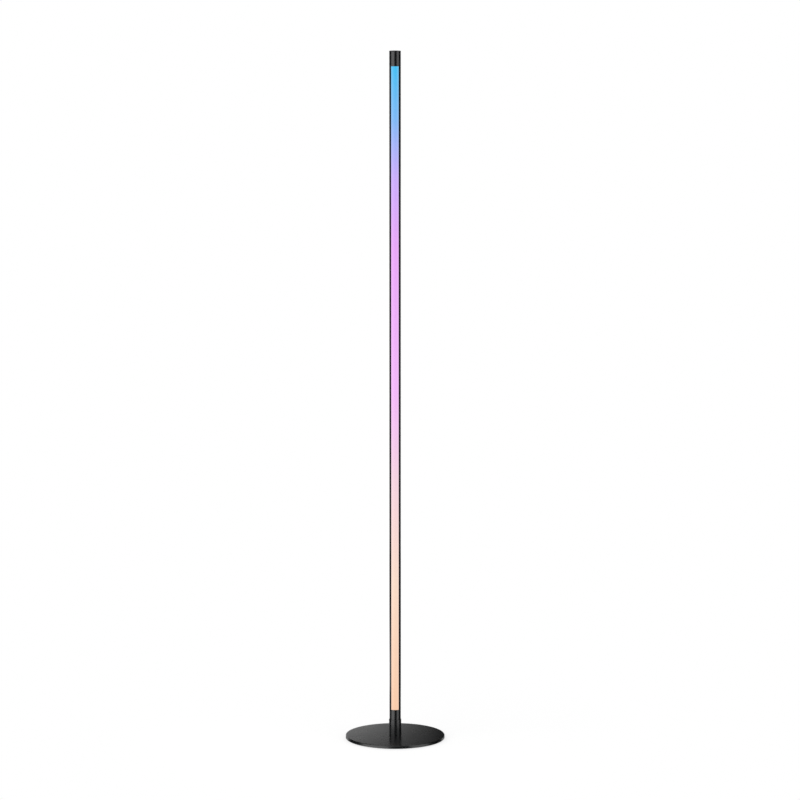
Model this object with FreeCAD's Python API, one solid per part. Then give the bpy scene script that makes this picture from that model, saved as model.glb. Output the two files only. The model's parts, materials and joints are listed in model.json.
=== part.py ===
import FreeCAD, Part
import math
import os

# A corner floor lamp: a round steel base, a slim round pole made of three lengths of
# aluminium extrusion, and a one-piece milky diffuser in the pole's front slot.
# Millimetres, +Z up. The origin is the centre of the foot pad's underside, the light
# faces -Y, and the power inlet and the button are at the back, +Y.

# Base
BASE_DIA = 200.0
PLATE_THICK = 6.0
PLATE_TOP_CHAMFER = 0.8
PLATE_BOTTOM_CHAMFER = 0.4
PAD_THICK = 1.2
PAD_INSET = 5.0
PAD_HOLE_DIA = 26.0

# Heights of what stands on the base, from below
COLLAR_HEIGHT = 32.0
BLANK_SHOWN = 21.0
LIT_LENGTH = 1298.0
CAP_HEIGHT = 30.0

# Pole extrusion
POLE_DIA = 23.0
WALL = 1.5
SLOT_WIDTH = 15.0
WEB_THICK = 1.4
SEAM_CHAMFER = 0.15
SECTION_NAMES = ("lower", "middle", "upper")

# Rails inside the extrusion that hold the control board by its edges
RAIL_STANDOFF = 1.4
RAIL_THICK = 1.0
RAIL_REACH = 1.9
BOARD_THICK = 1.2
BOARD_ROOM = 8.5
BOARD_PLAY = 0.1
BOARD_SIDE_PLAY = 0.5

# What snaps into the front slot
INSERT_THICK = 1.6
INSERT_LEG = 1.1
INSERT_PLAY = 0.1
BARB_OUT = 0.5
BARB_SHARE = 0.35

# Collar and foot plug
COLLAR_WALL = 0.8
COLLAR_PLAY = 0.1
COLLAR_CHAMFER = 0.3
PLUG_FLANGE = 15.0
TONGUE_PLAY = 0.15
BOLT_DIA = 8.0
BOLT_HEAD_DIA = 16.0
BOLT_REACH = 12.0
BOLT_PLAY = 0.25
BOLT_HOLE_SPARE = 1.5
THREAD_PLAY = 0.05
DOWEL_DIA = 3.0
DOWEL_IN_PLATE = 3.0
DOWEL_IN_PLUG = 5.0

# Joints between the pole's sections
SPIGOT_REACH = 40.0
SCREW_DIA = 3.0
SCREW_HEAD_DIA = 5.5
SCREW_LENGTH = 5.0
SCREW_SUNK = 0.05
JOINT_SCREW_OFFSET = 15.0
PLUG_SCREW_ANGLE = 40.0
SOCKET_ACROSS_SHARE = 0.65
SOCKET_DEPTH_SHARE = 0.6

# Top cap
CAP_WALL = 2.0
CAP_ROOF = 3.0
CAP_EDGE = 0.5
CAP_TONGUE = 22.0

# Light strip
STRIP_WIDTH = 10.0
STRIP_THICK = 0.3
STRIP_END_GAP = 2.0
LED_PITCH = 16.7
LED_FIRST = 9.0
LED_SIZE = 5.0
LED_HEIGHT = 1.6
LEDS_PER_DRIVER = 3
DRIVER_WIDTH = 4.9
DRIVER_LENGTH = 3.9
DRIVER_HEIGHT = 1.2

# Control board, from its lower end upwards
BOARD_END_GAP = 0.3
BOARD_BELOW_JACK = 6.5
PART_GAP = 2.5
CAPACITOR_DIA = 6.3
CAPACITOR_HEIGHT = 7.2
INDUCTOR_SIZE = 6.0
INDUCTOR_HEIGHT = 4.0
CHIP_WIDTH = 5.0
CHIP_LENGTH = 4.0
CHIP_HEIGHT = 1.6
CHIP_SPREAD = 3.6
RADIO_WIDTH = 12.0
RADIO_LENGTH = 16.0
RADIO_THICK = 0.8
RADIO_ANTENNA = 4.5
SHIELD_INSET = 0.6
SHIELD_HEIGHT = 1.4
RADIO_WINDOW_PLAY = 1.0
HEADER_LENGTH = 10.2
HEADER_WIDTH = 2.5
HEADER_SPARE = 0.4
HEADER_PITCH = 2.54
HEADER_COUNT = 4
HEADER_PIN = 0.64
HEADER_UP_STRIP = 4.0
HEADER_WINDOW_PLAY = 0.6
PRESS_GAP = 0.02

# Power inlet for a 5.5 x 2.1 mm barrel plug
JACK_SIZE = 9.0
JACK_BORE = 6.3
JACK_PIN = 2.1
JACK_PIN_FOOT = 3.2
JACK_FLOOR = 1.2
JACK_WALL_GAP = 0.3
PIN_SHORT = 0.4
PIN_TIP_ROUND = 0.5
LEAF_THICK = 0.3
LEAF_INTO_BORE = 0.2
LEAF_WIDTH = 2.4
LEAF_SHORT = 1.0
LEAF_FOOT = 2.0
LEAF_PLAY = 0.2
BEZEL_BORE = 6.8
BEZEL_SLEEVE = 8.6
BEZEL_FLANGE = 11.2
BEZEL_PROUD = 0.8
BEZEL_RIM = 0.3
BEZEL_PLAY = 0.1

# Switch and button
SWITCH_SIZE = 6.0
SWITCH_HEIGHT = 3.4
SWITCH_FRAME = 0.3
SWITCH_WELL_FLOOR = 1.7
PLUNGER_DIA = 3.4
PLUNGER_PLAY = 0.3
PLUNGER_TOP = 4.7
BUTTON_TRAVEL = 0.5
BUTTON_DIA = 8.0
BUTTON_PLAY = 0.3
BUTTON_FLANGE_DIA = 10.4
BUTTON_FLANGE = 1.0
BUTTON_PROUD = 0.4
BUTTON_STEM_DIA = 3.0
BUTTON_EDGE = 0.4

# Worked out from the sizes above
PLATE_BOTTOM = PAD_THICK
PLATE_TOP = PLATE_BOTTOM + PLATE_THICK
COLLAR_TOP = PLATE_TOP + COLLAR_HEIGHT
LIT_BOTTOM = COLLAR_TOP + BLANK_SHOWN
LIT_TOP = LIT_BOTTOM + LIT_LENGTH
PLUG_TOP = PLATE_TOP + PLUG_FLANGE
SECTION_LENGTH = (LIT_TOP - PLUG_TOP) / len(SECTION_NAMES)

POLE_R = POLE_DIA / 2
BORE_R = POLE_R - WALL
BOARD_BACK = BORE_R - BOARD_ROOM
BOARD_FRONT = BOARD_BACK - BOARD_THICK
RAIL_BACK = BOARD_BACK + BOARD_PLAY + RAIL_THICK
WEB_BACK = BOARD_FRONT - BOARD_PLAY - RAIL_STANDOFF
WEB_FRONT = WEB_BACK - WEB_THICK
BOARD_HALF = math.sqrt(BORE_R ** 2 - BOARD_BACK ** 2) - BOARD_SIDE_PLAY
RAIL_EDGE = math.sqrt(BORE_R ** 2 - BOARD_BACK ** 2) - RAIL_REACH
INSERT_HALF = SLOT_WIDTH / 2 - INSERT_PLAY
LIP_INNER_Y = -math.sqrt(BORE_R ** 2 - (SLOT_WIDTH / 2) ** 2)
BARB_DEPTH = BARB_SHARE * (WEB_FRONT - LIP_INNER_Y)

STRIP_FRONT = WEB_FRONT - STRIP_THICK
STRIP_BOTTOM = LIT_BOTTOM + STRIP_END_GAP
STRIP_TOP = LIT_TOP - STRIP_END_GAP

JACK_Z = COLLAR_TOP + BLANK_SHOWN / 2
JACK_FACE = math.sqrt(BORE_R ** 2 - (JACK_SIZE / 2) ** 2) - JACK_WALL_GAP
BOARD_BOTTOM = JACK_Z - JACK_SIZE / 2 - BOARD_BELOW_JACK
TONGUE_TOP = BOARD_BOTTOM - BOARD_END_GAP
CAPACITOR_Z = JACK_Z + JACK_SIZE / 2 + PART_GAP + CAPACITOR_DIA / 2
INDUCTOR_Z = CAPACITOR_Z + CAPACITOR_DIA / 2 + PART_GAP + INDUCTOR_SIZE / 2
BUTTON_Z = INDUCTOR_Z + INDUCTOR_SIZE / 2 + PART_GAP + SWITCH_SIZE / 2
CHIP_Z = BUTTON_Z + SWITCH_SIZE / 2 + PART_GAP + CHIP_LENGTH / 2
CHIP_ROW = CHIP_LENGTH + PART_GAP
CHIP_ROWS = 2
BOARD_TOP = CHIP_Z + CHIP_ROW * (CHIP_ROWS - 1) + CHIP_LENGTH / 2 + PART_GAP
RADIO_Z = BOARD_BOTTOM + RADIO_WINDOW_PLAY + RADIO_LENGTH / 2
HEADER_Z = STRIP_BOTTOM + HEADER_UP_STRIP

PLUNGER_REST = BOARD_BACK + PLUNGER_TOP
FLANGE_OUTER = math.sqrt(BORE_R ** 2 - (BUTTON_FLANGE_DIA / 2) ** 2) - BUTTON_PLAY

BACK = 90.0  # the direction of +Y, in degrees from +X
SAME_PLACE = 1e-6  # two coordinates closer than this are one


def cylinder_z(radius, low, high, x=0.0, y=0.0):
    """A round bar that stands along Z."""
    return Part.makeCylinder(radius, high - low, FreeCAD.Vector(x, y, low))


def cylinder_y(radius, front, rear, z, x=0.0):
    """A round bar that lies along Y."""
    return Part.makeCylinder(radius, rear - front, FreeCAD.Vector(x, front, z), FreeCAD.Vector(0, 1, 0))


def block(x0, x1, y0, y1, z0, z1):
    """A box between two corners."""
    return Part.makeBox(x1 - x0, y1 - y0, z1 - z0, FreeCAD.Vector(x0, y0, z0))


def ring_edges(shape, z):
    """The round edges that lie flat at height z."""
    flat = []
    for edge in shape.Edges:
        box = edge.BoundBox
        level = box.ZLength < SAME_PLACE and abs(box.ZMin - z) < SAME_PLACE
        if level and isinstance(edge.Curve, Part.Circle):
            flat.append(edge)
    return flat


def edges_at(shape, y):
    """The edges at a bar's rear end, at depth y."""
    return [edge for edge in shape.Edges if abs(edge.BoundBox.YMin - y) < SAME_PLACE]


def outermost(edges):
    """The largest of some round edges."""
    return [max(edges, key=lambda edge: edge.Curve.Radius)]


def save(name, shape):
    """Writes one sub-part to its own file."""
    shape.exportStep("parts/" + name + ".step")


def hexagon_socket(across, depth):
    """A hexagonal recess whose mouth is at the origin and which goes down -Z."""
    corner = across / 2 / math.cos(math.pi / 6)
    points = [FreeCAD.Vector(corner * math.cos(k * math.pi / 3), corner * math.sin(k * math.pi / 3), -depth)
              for k in range(7)]
    return Part.Face(Part.makePolygon(points)).extrude(FreeCAD.Vector(0, 0, depth))


def countersunk_form(shank_dia, head_dia, length, above=0.0):
    """A countersunk screw's outline along -Z with its head at the origin, for the screw and its hole."""
    shank_r = shank_dia / 2
    head_r = head_dia / 2
    cone = head_r - shank_r
    form = Part.makeCylinder(shank_r, length, FreeCAD.Vector(0, 0, -length))
    form = form.fuse(Part.makeCone(shank_r, head_r, cone, FreeCAD.Vector(0, 0, -cone)))
    if above > 0:
        form = form.fuse(Part.makeCylinder(head_r, above))
    return form


def countersunk_screw(shank_dia, head_dia, length):
    """A countersunk screw along -Z with a hexagonal socket."""
    socket_depth = (head_dia - shank_dia) / 2 * SOCKET_DEPTH_SHARE
    screw = countersunk_form(shank_dia, head_dia, length)
    return screw.cut(hexagon_socket(shank_dia * SOCKET_ACROSS_SHARE, socket_depth))


def on_pole(shape, angle, z):
    """Turns a screw made along -Z into the pole's side, its head's rim just under the surface."""
    placed = shape.copy()
    placed.rotate(FreeCAD.Vector(), FreeCAD.Vector(0, 1, 0), 90)
    placed.rotate(FreeCAD.Vector(), FreeCAD.Vector(0, 0, 1), angle)
    out = math.sqrt(POLE_R ** 2 - (SCREW_HEAD_DIA / 2) ** 2) - SCREW_SUNK
    turn = math.radians(angle)
    placed.translate(FreeCAD.Vector(out * math.cos(turn), out * math.sin(turn), z))
    return placed


def side_screw(angle, z):
    """One screw in the pole's side."""
    return on_pole(countersunk_screw(SCREW_DIA, SCREW_HEAD_DIA, SCREW_LENGTH), angle, z)


def side_screw_hole(angle, z):
    """The hole of one screw in the pole's side, through the wall and what is behind it."""
    play = 2 * THREAD_PLAY
    depth = SCREW_LENGTH + THREAD_PLAY
    form = countersunk_form(SCREW_DIA + play, SCREW_HEAD_DIA + play, depth, SCREW_HEAD_DIA)
    return on_pole(form, angle, z)


def joint_heights():
    """Where one section of the pole ends and the next begins."""
    return [PLUG_TOP + SECTION_LENGTH * k for k in range(1, len(SECTION_NAMES))]


def joint_screw_places(height):
    """Angle and height of the screws at one joint of the pole."""
    return [(BACK, height - JOINT_SCREW_OFFSET), (BACK, height + JOINT_SCREW_OFFSET)]


def plug_screw_places():
    """Angle and height of the screws that hold the foot plug's tongue."""
    middle = (PLUG_TOP + TONGUE_TOP) / 2
    return [(BACK - PLUG_SCREW_ANGLE, middle), (BACK + PLUG_SCREW_ANGLE, middle)]


def cap_screw_place():
    """Angle and height of the screw that holds the top cap's tongue."""
    return BACK, LIT_TOP - CAP_TONGUE / 2


def all_side_holes():
    """Every countersunk hole in the pole's side."""
    places = plug_screw_places() + [cap_screw_place()]
    for height in joint_heights():
        places += joint_screw_places(height)
    return [side_screw_hole(angle, z) for angle, z in places]


def tongue(low, high):
    """A bar that fills the back of the pole's bore, behind the rails."""
    bar = cylinder_z(BORE_R - TONGUE_PLAY, low, high)
    return bar.common(block(-POLE_R, POLE_R, RAIL_BACK + TONGUE_PLAY, POLE_R, low, high))


def profile_section(low, high):
    """A length of the pole: a round tube with a front slot, a cross web and four board rails."""
    shell = cylinder_z(POLE_R, low, high).cut(cylinder_z(BORE_R, low, high))
    shell = shell.cut(block(-SLOT_WIDTH / 2, SLOT_WIDTH / 2, -POLE_DIA, WEB_FRONT, low, high))
    inside = block(-POLE_R, POLE_R, WEB_FRONT, WEB_BACK, low, high)
    for side in (-1, 1):
        inner, outer = sorted((side * RAIL_EDGE, side * POLE_R))
        inside = inside.fuse(block(inner, outer, WEB_BACK, BOARD_FRONT - BOARD_PLAY, low, high))
        inside = inside.fuse(block(inner, outer, BOARD_BACK + BOARD_PLAY, RAIL_BACK, low, high))
    inside = inside.common(cylinder_z(BORE_R, low, high))
    return shell.fuse(inside).removeSplitter()


def seam(height):
    """The shallow groove that the broken edges of two sections leave round the pole where they meet."""
    low, high = height - SEAM_CHAMFER, height + SEAM_CHAMFER
    inner = POLE_R - SEAM_CHAMFER
    up = Part.makeCone(POLE_R, inner, SEAM_CHAMFER, FreeCAD.Vector(0, 0, low))
    down = Part.makeCone(inner, POLE_R, SEAM_CHAMFER, FreeCAD.Vector(0, 0, height))
    return cylinder_z(POLE_R + SEAM_CHAMFER, low, high).cut(up).cut(down)


def radio_window():
    """The opening in the web that lets the radio face the plastic blank."""
    half = RADIO_WIDTH / 2 + RADIO_WINDOW_PLAY
    rise = RADIO_LENGTH / 2 + RADIO_WINDOW_PLAY
    return block(-half, half, WEB_FRONT, WEB_BACK, RADIO_Z - rise, RADIO_Z + rise)


def header_window():
    """The opening in the web where the board's header meets the light strip."""
    half = HEADER_LENGTH / 2 + HEADER_WINDOW_PLAY
    rise = HEADER_WIDTH / 2 + HEADER_WINDOW_PLAY
    return block(-half, half, WEB_FRONT, WEB_BACK, HEADER_Z - rise, HEADER_Z + rise)


def pole_sections():
    """The pole's lengths of extrusion, the lowest with the openings for the controls."""
    cuts = all_side_holes() + [seam(height) for height in joint_heights()]
    for number, name in enumerate(SECTION_NAMES):
        low = PLUG_TOP + SECTION_LENGTH * number
        section = profile_section(low, low + SECTION_LENGTH).cut(cuts)
        if number == 0:
            section = section.cut(radio_window()).cut(header_window())
            section = section.cut(cylinder_y(BEZEL_SLEEVE / 2 + BEZEL_PLAY, RAIL_BACK, POLE_DIA, JACK_Z))
            section = section.cut(cylinder_y(BUTTON_DIA / 2 + BUTTON_PLAY, RAIL_BACK, POLE_DIA, BUTTON_Z))
        save("profile_" + name, section)


def pole_joints():
    """The bars and screws that join the pole's sections."""
    holes = all_side_holes()
    for name, height in zip(SECTION_NAMES, joint_heights()):
        save("joint_spigot_" + name, tongue(height - SPIGOT_REACH, height + SPIGOT_REACH).cut(holes))
        screws = [side_screw(angle, z) for angle, z in joint_screw_places(height)]
        save("joint_screws_" + name, Part.makeCompound(screws))


def slot_insert(low, high):
    """What snaps into the front slot: a curved face with two barbed legs."""
    face = cylinder_z(POLE_R, low, high).cut(cylinder_z(POLE_R - INSERT_THICK, low, high))
    face = face.common(block(-INSERT_HALF, INSERT_HALF, -POLE_DIA, 0, low, high))
    leg_end = LIP_INNER_Y + BARB_DEPTH
    for side in (-1, 1):
        inner, outer = sorted((side * (INSERT_HALF - INSERT_LEG), side * INSERT_HALF))
        leg = block(inner, outer, -POLE_DIA, leg_end, low, high).common(cylinder_z(POLE_R, low, high))
        inner, outer = sorted((side * (INSERT_HALF - INSERT_LEG), side * (INSERT_HALF + BARB_OUT)))
        barb = block(inner, outer, LIP_INNER_Y, leg_end, low, high)
        barb = barb.common(cylinder_z(BORE_R - INSERT_PLAY, low, high))
        face = face.fuse(leg).fuse(barb)
    return face.removeSplitter()


def base_plate():
    """The round steel plate, with the bolt's countersink and the dowel's hole."""
    plate = cylinder_z(BASE_DIA / 2, PLATE_BOTTOM, PLATE_TOP)
    plate = plate.makeChamfer(PLATE_TOP_CHAMFER, ring_edges(plate, PLATE_TOP))
    plate = plate.makeChamfer(PLATE_BOTTOM_CHAMFER, outermost(ring_edges(plate, PLATE_BOTTOM)))
    hole = countersunk_form(BOLT_DIA + 2 * BOLT_PLAY, BOLT_HEAD_DIA + 2 * BOLT_PLAY, PLATE_THICK)
    hole.rotate(FreeCAD.Vector(), FreeCAD.Vector(1, 0, 0), 180)
    hole.translate(FreeCAD.Vector(0, 0, PLATE_BOTTOM))
    plate = plate.cut(hole)
    return plate.cut(dowel(THREAD_PLAY))


def dowel(play=0.0):
    """The pin that keeps the pole from turning, or with some play the hole that it sits in."""
    low = PLATE_TOP - DOWEL_IN_PLATE - play
    high = PLATE_TOP + DOWEL_IN_PLUG + play
    between_bolt_and_rim = (BOLT_DIA / 2 + POLE_R) / 2
    return cylinder_z(DOWEL_DIA / 2 + play, low, high, 0, between_bolt_and_rim)


def foot_pad():
    """The non-slip sheet under the plate, open round the bolt's head."""
    return cylinder_z(BASE_DIA / 2 - PAD_INSET, 0, PAD_THICK).cut(cylinder_z(PAD_HOLE_DIA / 2, 0, PAD_THICK))


def base_bolt():
    """The countersunk bolt, from the plate's underside up into the foot plug."""
    bolt = countersunk_screw(BOLT_DIA, BOLT_HEAD_DIA, PLATE_THICK + BOLT_REACH)
    bolt.rotate(FreeCAD.Vector(), FreeCAD.Vector(1, 0, 0), 180)
    bolt.translate(FreeCAD.Vector(0, 0, PLATE_BOTTOM + BOLT_PLAY))
    return bolt


def foot_plug():
    """The threaded plug in the pole's lower end, with a tongue up its bore."""
    plug = cylinder_z(POLE_R, PLATE_TOP, PLUG_TOP).fuse(tongue(PLUG_TOP, TONGUE_TOP))
    thread_r = BOLT_DIA / 2 + THREAD_PLAY
    plug = plug.cut(cylinder_z(thread_r, PLATE_TOP, PLATE_TOP + BOLT_REACH + BOLT_HOLE_SPARE))
    return plug.cut(dowel(THREAD_PLAY)).cut(all_side_holes())


def pole_collar():
    """The steel ferrule round the pole's foot, welded down to the plate."""
    inner = POLE_R + COLLAR_PLAY
    collar = cylinder_z(inner + COLLAR_WALL, PLATE_TOP, COLLAR_TOP)
    collar = collar.makeChamfer(COLLAR_CHAMFER, ring_edges(collar, COLLAR_TOP))
    return collar.cut(cylinder_z(inner, PLATE_TOP, COLLAR_TOP))


def top_cap():
    """The hollow end piece above the light, with its tongue down the pole's bore."""
    top = LIT_TOP + CAP_HEIGHT
    cap = cylinder_z(POLE_R, LIT_TOP, top)
    cap = cap.makeChamfer(CAP_EDGE, ring_edges(cap, top))
    cap = cap.cut(cylinder_z(POLE_R - CAP_WALL, LIT_TOP, top - CAP_ROOF))
    cap = cap.fuse(tongue(LIT_TOP - CAP_TONGUE, top - CAP_ROOF)).removeSplitter()
    return cap.cut(all_side_holes())


def led_heights():
    """The height of each light-emitting chip along the strip."""
    span = STRIP_TOP - STRIP_BOTTOM - 2 * LED_FIRST
    return [STRIP_BOTTOM + LED_FIRST + LED_PITCH * k for k in range(int(span / LED_PITCH) + 1)]


def light_strip():
    """The flexible strip on the web, its lights and the chips that drive each few of them."""
    half = STRIP_WIDTH / 2
    save("led_strip", block(-half, half, STRIP_FRONT, WEB_FRONT, STRIP_BOTTOM, STRIP_TOP))
    lights = []
    drivers = []
    for number, z in enumerate(led_heights()):
        half = LED_SIZE / 2
        lights.append(block(-half, half, STRIP_FRONT - LED_HEIGHT, STRIP_FRONT, z - half, z + half))
        if number % LEDS_PER_DRIVER == 1:
            middle = z + LED_PITCH / 2
            wide, tall = DRIVER_WIDTH / 2, DRIVER_LENGTH / 2
            front = STRIP_FRONT - DRIVER_HEIGHT
            drivers.append(block(-wide, wide, front, STRIP_FRONT, middle - tall, middle + tall))
    save("led_chips", Part.makeCompound(lights))
    save("strip_driver_chips", Part.makeCompound(drivers))


def board_part(width, length, height, z, x=0.0):
    """A plain component on the back of the control board."""
    half, rise = width / 2, length / 2
    return block(x - half, x + half, BOARD_BACK, BOARD_BACK + height, z - rise, z + rise)


def header_pin_places():
    """Where each pin of the strip's header stands across the board."""
    return [HEADER_PITCH * (k - (HEADER_COUNT - 1) / 2) for k in range(HEADER_COUNT)]


def header_pins(grow=0.0):
    """The header's pins, from the board to the back of the light strip."""
    half = HEADER_PIN / 2 + grow
    return [block(x - half, x + half, WEB_FRONT - grow, BOARD_FRONT + grow, HEADER_Z - half, HEADER_Z + half)
            for x in header_pin_places()]


def control_board():
    """The circuit board behind the web and everything soldered to it but the inlet and switch."""
    save("control_board", block(-BOARD_HALF, BOARD_HALF, BOARD_FRONT, BOARD_BACK, BOARD_BOTTOM, BOARD_TOP))
    save("storage_capacitor",
         cylinder_y(CAPACITOR_DIA / 2, BOARD_BACK, BOARD_BACK + CAPACITOR_HEIGHT, CAPACITOR_Z))
    save("power_inductor", board_part(INDUCTOR_SIZE, INDUCTOR_SIZE, INDUCTOR_HEIGHT, INDUCTOR_Z))
    chips = [board_part(CHIP_WIDTH, CHIP_LENGTH, CHIP_HEIGHT, CHIP_Z + CHIP_ROW * row, x)
             for row in range(CHIP_ROWS) for x in (-CHIP_SPREAD, CHIP_SPREAD)]
    save("driver_chips", Part.makeCompound(chips))
    half, rise = HEADER_LENGTH / 2, HEADER_WIDTH / 2
    header = block(-half, half, WEB_FRONT + HEADER_SPARE, BOARD_FRONT, HEADER_Z - rise, HEADER_Z + rise)
    save("strip_header", header.cut(header_pins(PRESS_GAP)))
    save("strip_header_pins", Part.makeCompound(header_pins()))


def radio():
    """The radio module on the board's front, with its antenna end left outside the shield."""
    half, rise = RADIO_WIDTH / 2, RADIO_LENGTH / 2
    face = BOARD_FRONT - RADIO_THICK
    save("radio_module", block(-half, half, face, BOARD_FRONT, RADIO_Z - rise, RADIO_Z + rise))
    half -= SHIELD_INSET
    low, high = RADIO_Z - rise + RADIO_ANTENNA, RADIO_Z + rise - SHIELD_INSET
    save("radio_shield", block(-half, half, face - SHIELD_HEIGHT, face, low, high))


def power_inlet():
    """The barrel jack on the board, its two contacts, and the bezel in the pole's back wall."""
    half = JACK_SIZE / 2
    floor = BOARD_BACK + JACK_FLOOR
    body = block(-half, half, BOARD_BACK, JACK_FACE, JACK_Z - half, JACK_Z + half)
    body = body.cut(cylinder_y(JACK_BORE / 2, floor, JACK_FACE, JACK_Z))
    body = body.cut(cylinder_y(JACK_PIN_FOOT / 2 + PRESS_GAP, BOARD_BACK, floor, JACK_Z))
    leaf_in = JACK_BORE / 2 - LEAF_INTO_BORE
    leaf_half = LEAF_WIDTH / 2
    room = leaf_half + LEAF_PLAY
    slot = block(leaf_in, leaf_in + LEAF_THICK + LEAF_PLAY, BOARD_BACK, JACK_FACE - LEAF_SHORT + LEAF_PLAY,
                 JACK_Z - room, JACK_Z + room)
    foot_slot = block(leaf_in, half, BOARD_BACK, BOARD_BACK + LEAF_THICK + LEAF_PLAY,
                      JACK_Z - room, JACK_Z + room)
    save("jack_body", body.cut(slot).cut(foot_slot))

    tip = JACK_FACE - PIN_SHORT
    pin = cylinder_y(JACK_PIN / 2, floor, tip, JACK_Z)
    pin = pin.makeFillet(PIN_TIP_ROUND, edges_at(pin, tip))
    save("jack_centre_pin", pin.fuse(cylinder_y(JACK_PIN_FOOT / 2, BOARD_BACK, floor, JACK_Z)))

    leaf = block(leaf_in, leaf_in + LEAF_THICK, BOARD_BACK, JACK_FACE - LEAF_SHORT,
                 JACK_Z - leaf_half, JACK_Z + leaf_half)
    foot = block(leaf_in, leaf_in + LEAF_FOOT, BOARD_BACK, BOARD_BACK + LEAF_THICK,
                 JACK_Z - leaf_half, JACK_Z + leaf_half)
    save("jack_side_contact", leaf.fuse(foot).removeSplitter())
    save("inlet_bezel", inlet_bezel())


def inlet_bezel():
    """The moulded sleeve that leads the plug through the pole's curved wall."""
    outer_r = POLE_R + BEZEL_PROUD
    flat = math.sqrt(outer_r ** 2 - (BEZEL_BORE / 2 + BEZEL_RIM) ** 2)
    low, high = JACK_Z - BEZEL_FLANGE, JACK_Z + BEZEL_FLANGE
    flange = cylinder_z(outer_r, low, high).cut(cylinder_z(POLE_R, low, high))
    flange = flange.common(cylinder_y(BEZEL_FLANGE / 2, 0, outer_r, JACK_Z))
    sleeve = cylinder_y(BEZEL_SLEEVE / 2, JACK_FACE + BEZEL_PLAY, outer_r, JACK_Z)
    bezel = flange.fuse(sleeve.common(cylinder_z(outer_r, low, high)))
    bezel = bezel.cut(cylinder_y(BEZEL_BORE / 2, 0, POLE_DIA, JACK_Z))
    return bezel.cut(block(-outer_r, outer_r, flat, POLE_DIA, low, high)).removeSplitter()


def switch():
    """The push switch on the board: its body, steel frame and plunger."""
    half = SWITCH_SIZE / 2
    top = BOARD_BACK + SWITCH_HEIGHT
    floor = BOARD_BACK + SWITCH_WELL_FLOOR
    well = cylinder_y(PLUNGER_DIA / 2 + PLUNGER_PLAY, floor, top + SWITCH_FRAME, BUTTON_Z)
    body = block(-half, half, BOARD_BACK, top, BUTTON_Z - half, BUTTON_Z + half)
    frame = block(-half, half, top, top + SWITCH_FRAME, BUTTON_Z - half, BUTTON_Z + half)
    save("switch_body", body.cut(well))
    save("switch_frame", frame.cut(well))
    plunger = cylinder_y(PLUNGER_DIA / 2, floor + BUTTON_TRAVEL + PLUNGER_PLAY, PLUNGER_REST, BUTTON_Z)
    save("switch_plunger", plunger)


def power_button():
    """The push button: a stem on the switch, a flange behind the wall and a cap through it."""
    face = POLE_R + BUTTON_PROUD
    cap = cylinder_y(BUTTON_DIA / 2, FLANGE_OUTER, face, BUTTON_Z)
    button = cap.makeChamfer(BUTTON_EDGE, edges_at(cap, face))
    flange_inner = FLANGE_OUTER - BUTTON_FLANGE
    button = button.fuse(cylinder_y(BUTTON_FLANGE_DIA / 2, flange_inner, FLANGE_OUTER, BUTTON_Z))
    button = button.fuse(cylinder_y(BUTTON_STEM_DIA / 2, PLUNGER_REST, flange_inner, BUTTON_Z))
    save("power_button", button.removeSplitter())


def main():
    os.makedirs("parts", exist_ok=True)
    save("base_plate", base_plate())
    save("foot_pad", foot_pad())
    save("base_bolt", base_bolt())
    save("locating_pin", dowel())
    save("foot_plug", foot_plug())
    save("foot_plug_screws", Part.makeCompound([side_screw(angle, z) for angle, z in plug_screw_places()]))
    save("pole_collar", pole_collar())
    pole_sections()
    pole_joints()
    save("lower_blank", slot_insert(PLUG_TOP, LIT_BOTTOM))
    save("diffuser", slot_insert(LIT_BOTTOM, LIT_TOP))
    save("top_cap", top_cap())
    save("top_cap_screw", side_screw(*cap_screw_place()))
    light_strip()
    control_board()
    radio()
    power_inlet()
    switch()
    power_button()


main()
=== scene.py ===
import json
import math

import bpy
from mathutils import Matrix, Vector


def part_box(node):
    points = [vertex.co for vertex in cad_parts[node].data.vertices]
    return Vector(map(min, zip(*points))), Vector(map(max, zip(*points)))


# A corner floor lamp, dressed: a powder-coated steel base, a black anodised pole and a milky
# silicone strip in its front that glows from sky blue at the top to peach at the foot.
# Metres, +Z up, the light faces -Y. Everything stays where the frame has it.

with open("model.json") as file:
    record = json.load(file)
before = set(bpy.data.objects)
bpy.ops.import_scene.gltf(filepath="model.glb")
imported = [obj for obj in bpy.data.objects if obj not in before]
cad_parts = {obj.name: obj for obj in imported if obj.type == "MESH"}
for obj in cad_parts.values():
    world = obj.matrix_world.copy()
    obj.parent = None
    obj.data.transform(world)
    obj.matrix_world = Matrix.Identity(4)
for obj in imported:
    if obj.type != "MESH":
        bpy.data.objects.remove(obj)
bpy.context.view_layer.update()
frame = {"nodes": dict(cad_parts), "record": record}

MM = 0.001

# The camera, from the ellipse of the base and the heights of the pole's parts
PICTURE_SIDE = 800
FOCAL_PIXELS = 3838.2
SENSOR = 36.0
CAMERA_TURN = math.radians(2.0)  # the lamp's light is turned this far to the left of the camera
CAMERA_SIDE = 0.0098
CAMERA_AWAY = 7.59
CAMERA_HEIGHT = 1.8199
CAMERA_DOWN = math.radians(8.454)
CAMERA_SEES_TO = 100

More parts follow.
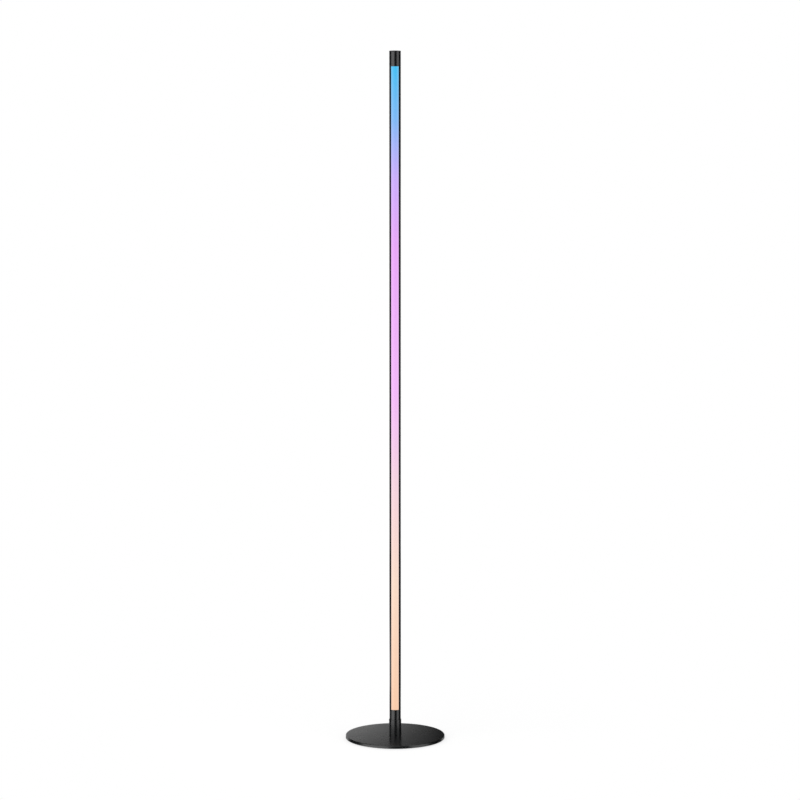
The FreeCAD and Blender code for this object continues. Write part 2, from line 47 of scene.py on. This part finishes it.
# Studio. Directions are in degrees round the pole from the camera's side, plus to its right.
STUDIO_LOW = -1.3
STUDIO_HIGH = 2.7
SOFTBOX_AWAY = 2.2
CARD_SIDES = 180
FULL_TURN = 360
AMBIENT = 0.62
WATTS_PER_RADIANCE = 2.0
SOFTBOXES = (
    # name, direction, width in degrees, radiance, whether reflections show it
    ("softbox_left", -47, 66, 2.3, True),
    ("softbox_right", 57, 46, 1.4, True),
    ("softbox_back", 180, 80, 0.75, False),
)
CARDS = (
    # name, first and last direction, lowest edge: black cards that only reflections see, which
    # give the dark lines down the middle and the edges of a black pole in a white room. The
    # gaps behind draw a bright line on each side of the pole's back, and light its foot.
    ("card_front", -14, 34, STUDIO_LOW),
    ("card_back_right", 80, 138, STUDIO_LOW),
    ("card_back_near_right", 152, 164, STUDIO_LOW),
    ("card_back", 164, 196, -0.05),
    ("card_back_near_left", 196, 208, STUDIO_LOW),
    ("card_back_left", 222, 280, STUDIO_LOW),
)
CARD_AWAY = 1.6
# A low card behind the base that fades from white on the left to black on the right, and
# upwards, for the sheen that runs off across the base's top
SHEEN_AWAY = 0.45
SHEEN_FIRST, SHEEN_LAST = 110, 250
SHEEN_TOP = 0.30
SHEEN_BRIGHT = 1.45
SHEEN_FADE_ACROSS = (-0.16, 0.10)
SHEEN_FADE_UP = (0.05, 0.17)
FLOOR_RADIUS = 1.4
FLOOR_SIDES = 96
FLOOR_WHITE_FROM = 0.15
FLOOR_WHITE_BY = 0.60
FLOOR_ALBEDO = 0.35
FLOOR_OWN = 0.69

# The glow from the foot of the strip to its top: share of the lit length, colour
GLOW_STOPS = (
    (0.00, "#FFD0AD"),  # peach
    (0.20, "#FEE0CA"),  # cream
    (0.36, "#F8D6E2"),  # blush
    (0.50, "#F5B8FB"),  # pink mauve
    (0.72, "#EAA6F9"),  # orchid
    (0.83, "#CAACFC"),  # lilac
    (0.92, "#7AB8F6"),  # periwinkle
    (1.00, "#38BEF2"),  # sky blue
)
GLOW_FROM_WITHIN = 0.76
# Share of the glow's colour that is painted into the diffuser's base colour: painted glow on a milky white skin
GLOW_PAINTED_INTO_BASE = 0.20

# Sockets of the colour Mix node, whose names repeat
MIX_A, MIX_B, MIX_RESULT = 6, 7, 2

# The strip's own pitches, as its parts are made
LED_PITCH = 16.7 * MM
LEDS_PER_CUT = 3
LENS_RADIUS = 1.9 * MM
CUT_PAD_HALF_LENGTH = 1.3 * MM
CUT_PAD_HALF_WIDTH = 0.7 * MM
CUT_PAD_PITCH = 2 * MM

# Across its width the diffuser turns paler between these distances from its middle, by this share
PALER_FROM = 3 * MM
PALER_TO = 7.4 * MM
PALER_SHARE = 0.12

# How far from the button's middle a finger rubs it
RUBBED_RADIUS = 4 * MM
FOAM_CELL = 0.8 * MM


def linear(hex_colour):
    """An sRGB colour written #RRGGBB, as the linear RGBA that shaders take."""
    channels = [int(hex_colour[k:k + 2], 16) / 255 for k in (1, 3, 5)]
    return [c / 12.92 if c <= 0.04045 else ((c + 0.055) / 1.055) ** 2.4 for c in channels] + [1.0]


def add(tree, kind, values=None, links=None, **settings):
    """Adds one node with its settings, its sockets' values and the outputs that feed its sockets."""
    node = tree.nodes.new(kind)
    for name, value in settings.items():
        setattr(node, name, value)
    for socket, value in (values or {}).items():
        node.inputs[socket].default_value = value
    for socket, output in (links or {}).items():
        tree.links.new(output, node.inputs[socket])
    return node


def start(name, roughness=0.5, metallic=0.0, ior=1.5):
    """A new material: its tree, its shader and the point on the piece in metres.

    The roughness is left out where uneven_gloss gives it."""
    material = bpy.data.materials.new(name)
    material.use_nodes = True
    tree = material.node_tree
    tree.nodes.clear()
    values = {"Roughness": roughness, "Metallic": metallic, "IOR": ior}
    shader = add(tree, "ShaderNodeBsdfPrincipled", values)
    add(tree, "ShaderNodeOutputMaterial", links={"Surface": shader.outputs["BSDF"]})
    point = add(tree, "ShaderNodeTexCoord").outputs["Object"]
    return material, tree, shader, point


def grain(tree, point, size, stretch=(1, 1, 1), detail=2.0):
    """Uneven spots about size millimetres across, drawn out along an axis by its stretch."""
    scale = [1 / (size * MM * s) for s in stretch]
    mapped = add(tree, "ShaderNodeMapping", {"Scale": scale}, {"Vector": point})
    noise = add(tree, "ShaderNodeTexNoise", {"Scale": 1.0, "Detail": detail}, {"Vector": mapped.outputs["Vector"]})
    return noise.outputs["Fac"]


def two_tone(tree, shader, factor, first, second):
    """Lets the base colour drift between two close shades."""
    mix = add(tree, "ShaderNodeMix", {MIX_A: linear(first), MIX_B: linear(second)}, {"Factor": factor},
              data_type="RGBA")
    tree.links.new(mix.outputs[MIX_RESULT], shader.inputs["Base Color"])


def uneven_gloss(tree, shader, factor, low, high):
    """Lets the roughness drift between two values."""
    spread = add(tree, "ShaderNodeMapRange", {"To Min": low, "To Max": high}, {"Value": factor})
    tree.links.new(spread.outputs["Result"], shader.inputs["Roughness"])


def relief(tree, shader, height, depth):
    """Raises the surface by depth millimetres where height is one."""
    bump = add(tree, "ShaderNodeBump", {"Distance": depth * MM}, {"Height": height})
    tree.links.new(bump.outputs["Normal"], shader.inputs["Normal"])


def from_repeat(tree, value, first, pitch):
    """How far a place is from the nearest of marks that repeat at a pitch."""
    moved = add(tree, "ShaderNodeMath", {1: first}, {0: value}, operation="SUBTRACT").outputs[0]
    return add(tree, "ShaderNodeMath", {1: pitch / 2}, {0: moved}, operation="PINGPONG").outputs[0]


def powder_coated_steel():
    """Polyester powder baked on steel: deep black, soft sheen, and a faint orange peel."""
    material, tree, shader, point = start("powder_coated_steel")
    two_tone(tree, shader, grain(tree, point, 45), "#0E0F10", "#121314")
    uneven_gloss(tree, shader, grain(tree, point, 25), 0.25, 0.31)
    # real orange peel is about 1.5 mm across, drawn at 3 mm so that the render can show it
    relief(tree, shader, grain(tree, point, 3.0), 0.010)
    return material


def anodised_extrusion():
    """Black anodised aluminium: the die's fine lines run along the pole under a satin dye."""
    material, tree, shader, point = start("black_anodised_extrusion", ior=1.6)
    two_tone(tree, shader, grain(tree, point, 60, (1, 1, 4)), "#0D0E0F", "#111214")
    lines = grain(tree, point, 0.5, (1, 1, 300))
    uneven_gloss(tree, shader, lines, 0.20, 0.26)
    relief(tree, shader, lines, 0.002)
    return material


def moulded_abs():
    """Injection-moulded ABS from a spark-eroded mould: black, with an even fine grain."""
    material, tree, shader, point = start("moulded_abs_black")
    two_tone(tree, shader, grain(tree, point, 20), "#0E0F10", "#121213")
    uneven_gloss(tree, shader, grain(tree, point, 8), 0.20, 0.25)
    relief(tree, shader, grain(tree, point, 0.5), 0.004)
    return material


def button_abs():
    """The same plastic a shade lighter, rubbed smoother in the middle where a finger lands."""
    material, tree, shader, point = start("button_abs_grey")
    two_tone(tree, shader, grain(tree, point, 4), "#242527", "#2A2B2D")
    low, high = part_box("power_button")
    middle = (0, high.y, (low.z + high.z) / 2)
    reach = add(tree, "ShaderNodeVectorMath", {1: middle}, {0: point}, operation="DISTANCE")
    worn = add(tree, "ShaderNodeMapRange", {"From Max": RUBBED_RADIUS}, {"Value": reach.outputs["Value"]})
    uneven_gloss(tree, shader, worn.outputs["Result"], 0.28, 0.45)
    relief(tree, shader, grain(tree, point, 0.4), 0.006)
    return material


def silicone_diffuser():
    """Extruded milky silicone, lit from behind: even along its length, a shade paler at its edges."""
    material, tree, shader, point = start("milky_silicone", 0.5, ior=1.41)
    low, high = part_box("diffuser")
    place = add(tree, "ShaderNodeSeparateXYZ", links={"Vector": point})
    share = add(tree, "ShaderNodeMapRange", {"From Min": low.z, "From Max": high.z}, {"Value": place.outputs["Z"]})
    ramp = add(tree, "ShaderNodeValToRGB", links={"Fac": share.outputs["Result"]})
    stops = ramp.color_ramp.elements
    foot, *between, top = GLOW_STOPS
    stops[0].color = linear(foot[1])
    stops[-1].color = linear(top[1])
    for where, colour in between:
        stops.new(where).color = linear(colour)
    across = add(tree, "ShaderNodeMath", links={0: place.outputs["X"]}, operation="ABSOLUTE").outputs[0]
    edge = add(tree, "ShaderNodeMapRange", {"From Min": PALER_FROM, "From Max": PALER_TO, "To Max": PALER_SHARE},
               {"Value": across})
    paler = add(tree, "ShaderNodeMix", {MIX_B: linear("#F4EEF6")},
                {"Factor": edge.outputs["Result"], MIX_A: ramp.outputs["Color"]}, data_type="RGBA")
    colour = paler.outputs[MIX_RESULT]
    # The base colour is the glow's own colour, dimmed: painted glow, where the milky silicone itself is pale
    painted_glow = add(tree, "ShaderNodeVectorMath", {"Scale": GLOW_PAINTED_INTO_BASE}, {0: colour}, operation="SCALE")
    tree.links.new(painted_glow.outputs["Vector"], shader.inputs["Base Color"])
    tree.links.new(colour, shader.inputs["Emission Color"])
    shader.inputs["Emission Strength"].default_value = GLOW_FROM_WITHIN
    return material


def closed_cell_foam():
    """Closed-cell EVA foam: dull black, with the cut faces of its small bubbles."""
    material, tree, shader, point = start("closed_cell_foam", 0.9)
    scale = {"Scale": 1 / FOAM_CELL}
    cells = add(tree, "ShaderNodeTexVoronoi", scale, {"Vector": point}).outputs["Distance"]
    # Each bubble is darker in its middle, where the bump sinks it: painted shade in the hollows
    two_tone(tree, shader, cells, "#151515", "#232323")
    relief(tree, shader, cells, 0.06)
    return material


def zinc_plated_steel():
    """Bright zinc with a clear passivate: silvery, with faint blue and straw stains."""
    material, tree, shader, point = start("zinc_plated_steel", metallic=1.0)
    two_tone(tree, shader, grain(tree, point, 3), "#AEB9C4", "#BDB9AC")
    uneven_gloss(tree, shader, grain(tree, point, 1.5), 0.24, 0.42)
    relief(tree, shader, grain(tree, point, 0.3), 0.003)
    return material


def black_oxide_steel():
    """Oiled black oxide on a machined screw: dark, slightly brown where it is thin."""
    material, tree, shader, point = start("black_oxide_steel", metallic=1.0)
    two_tone(tree, shader, grain(tree, point, 1.2), "#232427", "#2E2A27")
    uneven_gloss(tree, shader, grain(tree, point, 0.6), 0.34, 0.50)
    return material


def turned_aluminium():
    """Aluminium bar as it leaves the lathe or saw: bright, with rings round its length."""
    material, tree, shader, point = start("turned_aluminium", metallic=1.0)
    rings = grain(tree, point, 0.3, (400, 400, 1))
    two_tone(tree, shader, rings, "#C8CACC", "#DADCDE")
    uneven_gloss(tree, shader, rings, 0.24, 0.38)
    relief(tree, shader, rings, 0.004)
    return material


def flexible_circuit():
    """White solder mask on a flexible strip, with bare copper pads at each place it may be cut."""
    material, tree, shader, point = start("flexible_circuit_white", 0.45)
    low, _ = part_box("led_strip")
    place = add(tree, "ShaderNodeSeparateXYZ", links={"Vector": point})
    along = from_repeat(tree, place.outputs["Z"], low.z, LEDS_PER_CUT * LED_PITCH)
    lane = from_repeat(tree, place.outputs["X"], low.x + CUT_PAD_PITCH, CUT_PAD_PITCH)
    near_cut = add(tree, "ShaderNodeMath", {1: CUT_PAD_HALF_LENGTH}, {0: along}, operation="LESS_THAN").outputs[0]
    in_lane = add(tree, "ShaderNodeMath", {1: CUT_PAD_HALF_WIDTH}, {0: lane}, operation="LESS_THAN").outputs[0]
    pad = add(tree, "ShaderNodeMath", links={0: near_cut, 1: in_lane}, operation="MULTIPLY").outputs[0]
    two_tone(tree, shader, pad, "#E9E9E3", "#C98A5A")
    relief(tree, shader, grain(tree, point, 0.6), 0.004)
    return material


def light_chips():
    """White packages whose round wells are filled with clear resin over yellow phosphor."""
    material, tree, shader, point = start("light_chip_resin")
    low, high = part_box("led_chips")
    place = add(tree, "ShaderNodeSeparateXYZ", links={"Vector": point})
    first = low.z + (high.x - low.x) / 2
    along = from_repeat(tree, place.outputs["Z"], first, LED_PITCH)
    offset = add(tree, "ShaderNodeCombineXYZ", links={"X": place.outputs["X"], "Y": along}).outputs["Vector"]
    reach = add(tree, "ShaderNodeVectorMath", links={0: offset}, operation="LENGTH").outputs["Value"]
    lens = add(tree, "ShaderNodeMath", {1: LENS_RADIUS}, {0: reach}, operation="LESS_THAN").outputs[0]
    two_tone(tree, shader, lens, "#ECECE8", "#E8D488")
    uneven_gloss(tree, shader, lens, 0.40, 0.12)
    return material


def circuit_board():
    """Glass-epoxy board under green solder mask, with the copper tracks a shade lighter below it."""
    material, tree, shader, point = start("circuit_board_green", 0.28)
    flat = add(tree, "ShaderNodeMapping", {"Rotation": (math.pi / 2, 0, 0)}, {"Vector": point})
    size = {"Scale": 1 / MM, "Mortar Size": 0.25, "Brick Width": 5.0, "Row Height": 1.2,
            "Color1": linear("#1C7A41"), "Color2": linear("#187038"), "Mortar": linear("#0E5229")}
    tracks = add(tree, "ShaderNodeTexBrick", size, {"Vector": flat.outputs["Vector"]})
    tree.links.new(tracks.outputs["Color"], shader.inputs["Base Color"])
    relief(tree, shader, tracks.outputs["Fac"], -0.02)
    return material


def moulding_compound():
    """Black epoxy round chips and sockets: matt, with a fine ejector-pin grain."""
    material, tree, shader, point = start("moulding_compound_black")
    two_tone(tree, shader, grain(tree, point, 0.8), "#17181A", "#202123")
    uneven_gloss(tree, shader, grain(tree, point, 0.5), 0.52, 0.68)
    relief(tree, shader, grain(tree, point, 0.25), 0.006)
    return material


def tinned_sheet():
    """Tinned steel sheet: pale grey metal with the soft flow marks of its plating."""
    material, tree, shader, point = start("tinned_sheet", metallic=1.0)
    two_tone(tree, shader, grain(tree, point, 1.5, (1, 1, 3)), "#BFC0BC", "#D0D0CB")
    uneven_gloss(tree, shader, grain(tree, point, 0.8), 0.30, 0.48)
    return material


def gold_flashed_pins():
    """Square brass pins under a thin gold flash."""
    material, tree, shader, point = start("gold_flashed_brass", 0.25, metallic=1.0)
    two_tone(tree, shader, grain(tree, point, 0.6), "#D4AC52", "#E2BE6A")
    return material


def drawn_can():
    """A drawn aluminium can, with the dark printed half that marks its negative side."""
    material, tree, shader, point = start("drawn_aluminium_can", metallic=1.0)
    low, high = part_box("storage_capacitor")
    place = add(tree, "ShaderNodeSeparateXYZ", links={"Vector": point})
    line = (high.z * 2 + low.z) / 3
    printed = add(tree, "ShaderNodeMath", {1: line}, {0: place.outputs["Z"]}, operation="GREATER_THAN").outputs[0]
    two_tone(tree, shader, printed, "#C6C8CB", "#1D1E22")
    uneven_gloss(tree, shader, grain(tree, point, 0.3, (1, 60, 1)), 0.22, 0.36)
    return material


def white_acetal():
    """Natural acetal: a slippery, slightly warm white."""
    material, tree, shader, point = start("white_acetal", 0.35)
    two_tone(tree, shader, grain(tree, point, 1.5), "#DAD9D3", "#E4E3DD")
    return material


# The finish of each of the record's material slots
FINISHES = {
    "powder_coat": powder_coated_steel,
    "anodised_black": anodised_extrusion,
    "moulded_black": moulded_abs,
    "button_plastic": button_abs,
    "opal_diffuser": silicone_diffuser,
    "foam_pad": closed_cell_foam,
    "zinc_steel": zinc_plated_steel,
    "blackened_screw": black_oxide_steel,
    "plain_aluminium": turned_aluminium,
    "strip_white": flexible_circuit,
    "led_phosphor": light_chips,
    "board_green": circuit_board,
    "chip_black": moulding_compound,
    "tinned_metal": tinned_sheet,
    "contact_brass": gold_flashed_pins,
    "capacitor_can": drawn_can,
    "plunger_white": white_acetal,
}


def finish_nodes():
    """Gives every node of the frame its finish, each finish made once."""
    made = {slot: finish() for slot, finish in FINISHES.items()}
    for part in frame["record"]["subparts"]:
        frame["nodes"][part["node"]].material_slots[0].material = made[part["material_slot"]]


def camera():
    """The photograph's view: a long lens a little above the lamp's top."""
    data = bpy.data.cameras.new("camera")
    data.sensor_width = SENSOR
    data.lens = FOCAL_PIXELS * SENSOR / PICTURE_SIDE
    data.clip_end = CAMERA_SEES_TO
    eye = bpy.data.objects.new("camera", data)
    across, away = Vector((CAMERA_SIDE, 0, 0)), Vector((0, -CAMERA_AWAY, CAMERA_HEIGHT))
    eye.location = Matrix.Rotation(CAMERA_TURN, 3, "Z") @ (across + away)
    eye.rotation_euler = (math.pi / 2 - CAMERA_DOWN, 0, CAMERA_TURN)
    bpy.context.scene.collection.objects.link(eye)
    bpy.context.scene.camera = eye


def rays_that_show_white(tree):
    """One for what the camera sees, directly or in metal and glass, and none for light on the object."""
    path = add(tree, "ShaderNodeLightPath").outputs
    seen = add(tree, "ShaderNodeMath", links={0: path["Is Camera Ray"], 1: path["Is Glossy Ray"]}).outputs[0]
    return add(tree, "ShaderNodeMath", links={0: seen, 1: path["Is Transmission Ray"]}, use_clamp=True).outputs[0]


def room():
    """A white room to look at, which lights the object only as much as AMBIENT says."""
    world = bpy.data.worlds.new("room")
    world.use_nodes = True
    world.cycles.sampling_method = "NONE"
    tree = world.node_tree
    tree.nodes.clear()
    level = add(tree, "ShaderNodeMapRange", {"To Min": AMBIENT, "To Max": 1.0}, {"Value": rays_that_show_white(tree)})
    white = add(tree, "ShaderNodeBackground", links={"Strength": level.outputs["Result"]})
    white.inputs["Color"].default_value = linear("#FFFFFF")
    add(tree, "ShaderNodeOutputWorld", links={"Surface": white.outputs["Background"]})
    bpy.context.scene.world = world


def softbox(name, direction, width, radiance, reflected):
    """A tall soft light that faces the pole from one direction."""
    turn = math.radians(direction) + CAMERA_TURN
    data = bpy.data.lights.new(name, "AREA")
    data.shape = "RECTANGLE"
    data.size = 2 * SOFTBOX_AWAY * math.tan(math.radians(width / 2))
    data.size_y = STUDIO_HIGH - STUDIO_LOW
    data.energy = WATTS_PER_RADIANCE * radiance * data.size * data.size_y
    light = bpy.data.objects.new(name, data)
    light.location = (SOFTBOX_AWAY * math.sin(turn), -SOFTBOX_AWAY * math.cos(turn), (STUDIO_LOW + STUDIO_HIGH) / 2)
    light.rotation_euler = (math.pi / 2, 0, turn)
    light.visible_camera = False
    light.visible_glossy = reflected
    bpy.context.scene.collection.objects.link(light)


def only_in_reflections(thing):
    """Hides a studio card from everything but mirror-like rays."""
    thing.visible_camera = False
    thing.visible_diffuse = False
    thing.visible_transmission = False
    thing.visible_volume_scatter = False
    thing.visible_shadow = False


def card(name, first, last, away, low, top, finish):
    """A card curved round the pole, which only reflections see."""
    bpy.ops.object.select_all(action="DESELECT")
    bpy.ops.mesh.primitive_cylinder_add(vertices=CARD_SIDES, radius=away, depth=top - low,
                                        end_fill_type="NOTHING", location=(0, 0, (top + low) / 2))
    sheet = bpy.context.object
    sheet.name = name
    bpy.context.tool_settings.mesh_select_mode = (False, False, True)
    for face in sheet.data.polygons:
        direction = math.degrees(math.atan2(face.center.x, -face.center.y) - CAMERA_TURN)
        face.select = not (first < direction < last or first < direction + FULL_TURN < last)
    bpy.ops.object.mode_set(mode="EDIT")
    bpy.ops.mesh.delete(type="FACE")
    bpy.ops.object.mode_set(mode="OBJECT")
    sheet.data.materials.append(finish)
    only_in_reflections(sheet)


def fading_white():
    """White on the left that fades to black on the right and upwards."""
    material = bpy.data.materials.new("card_fading")
    material.use_nodes = True
    tree = material.node_tree
    tree.nodes.clear()
    place = add(tree, "ShaderNodeNewGeometry").outputs["Position"]
    place = add(tree, "ShaderNodeSeparateXYZ", links={"Vector": place})
    left, right = SHEEN_FADE_ACROSS
    fade = {"From Min": left, "From Max": right, "To Min": SHEEN_BRIGHT, "To Max": 0.0}
    across = add(tree, "ShaderNodeMapRange", fade, {"Value": place.outputs["X"]})
    low, high = SHEEN_FADE_UP
    fade = {"From Min": low, "From Max": high, "To Min": 1.0, "To Max": 0.0}
    up = add(tree, "ShaderNodeMapRange", fade, {"Value": place.outputs["Z"]})
    level = add(tree, "ShaderNodeMath", links={0: across.outputs["Result"], 1: up.outputs["Result"]},
                operation="MULTIPLY").outputs[0]
    light = add(tree, "ShaderNodeEmission", links={"Strength": level})
    add(tree, "ShaderNodeOutputMaterial", links={"Surface": light.outputs["Emission"]})
    return material


def studio():
    """The softboxes, the black cards and the fading one."""
    for name, direction, width, radiance, reflected in SOFTBOXES:
        softbox(name, direction, width, radiance, reflected)
    black, _, shader, _ = start("card_black", 1.0)
    shader.inputs["Base Color"].default_value = linear("#000000")
    shader.inputs["Specular IOR Level"].default_value = 0.0
    for name, first, last, low in CARDS:
        card(name, first, last, CARD_AWAY, low, STUDIO_HIGH, black)
    card("card_fading", SHEEN_FIRST, SHEEN_LAST, SHEEN_AWAY, 0.0, SHEEN_TOP, fading_white())


def floor():
    """A pale floor that keeps the lamp's soft shadow and runs out into the white room."""
    material, tree, shader, point = start("floor_white", 0.9)
    shader.inputs["Base Color"].default_value = [FLOOR_ALBEDO] * 3 + [1.0]
    shader.inputs["Specular IOR Level"].default_value = 0.0
    shader.inputs["Emission Color"].default_value = linear("#FFFFFF")
    seen = rays_that_show_white(tree)
    own = add(tree, "ShaderNodeMath", {1: FLOOR_OWN}, {0: seen}, operation="MULTIPLY").outputs[0]
    tree.links.new(own, shader.inputs["Emission Strength"])
    away = add(tree, "ShaderNodeVectorMath", links={0: point}, operation="LENGTH").outputs["Value"]
    fade = add(tree, "ShaderNodeMapRange", {"From Min": FLOOR_WHITE_FROM, "From Max": FLOOR_WHITE_BY},
               {"Value": away}, interpolation_type="SMOOTHSTEP").outputs["Result"]
    plain = add(tree, "ShaderNodeEmission", links={"Strength": seen})
    mix = add(tree, "ShaderNodeMixShader", links={0: fade, 1: shader.outputs["BSDF"], 2: plain.outputs["Emission"]})
    output = next(node for node in tree.nodes if node.type == "OUTPUT_MATERIAL")
    tree.links.new(mix.outputs["Shader"], output.inputs["Surface"])
    bpy.ops.object.select_all(action="DESELECT")
    bpy.ops.mesh.primitive_circle_add(vertices=FLOOR_SIDES, radius=FLOOR_RADIUS, fill_type="NGON")
    ground = bpy.context.object
    ground.name = "floor"
    ground.data.materials.append(material)
    ground.visible_glossy = False
    ground.visible_shadow = False


camera()
finish_nodes()
room()
studio()
floor()
bpy.context.scene.view_settings.view_transform = "Standard"
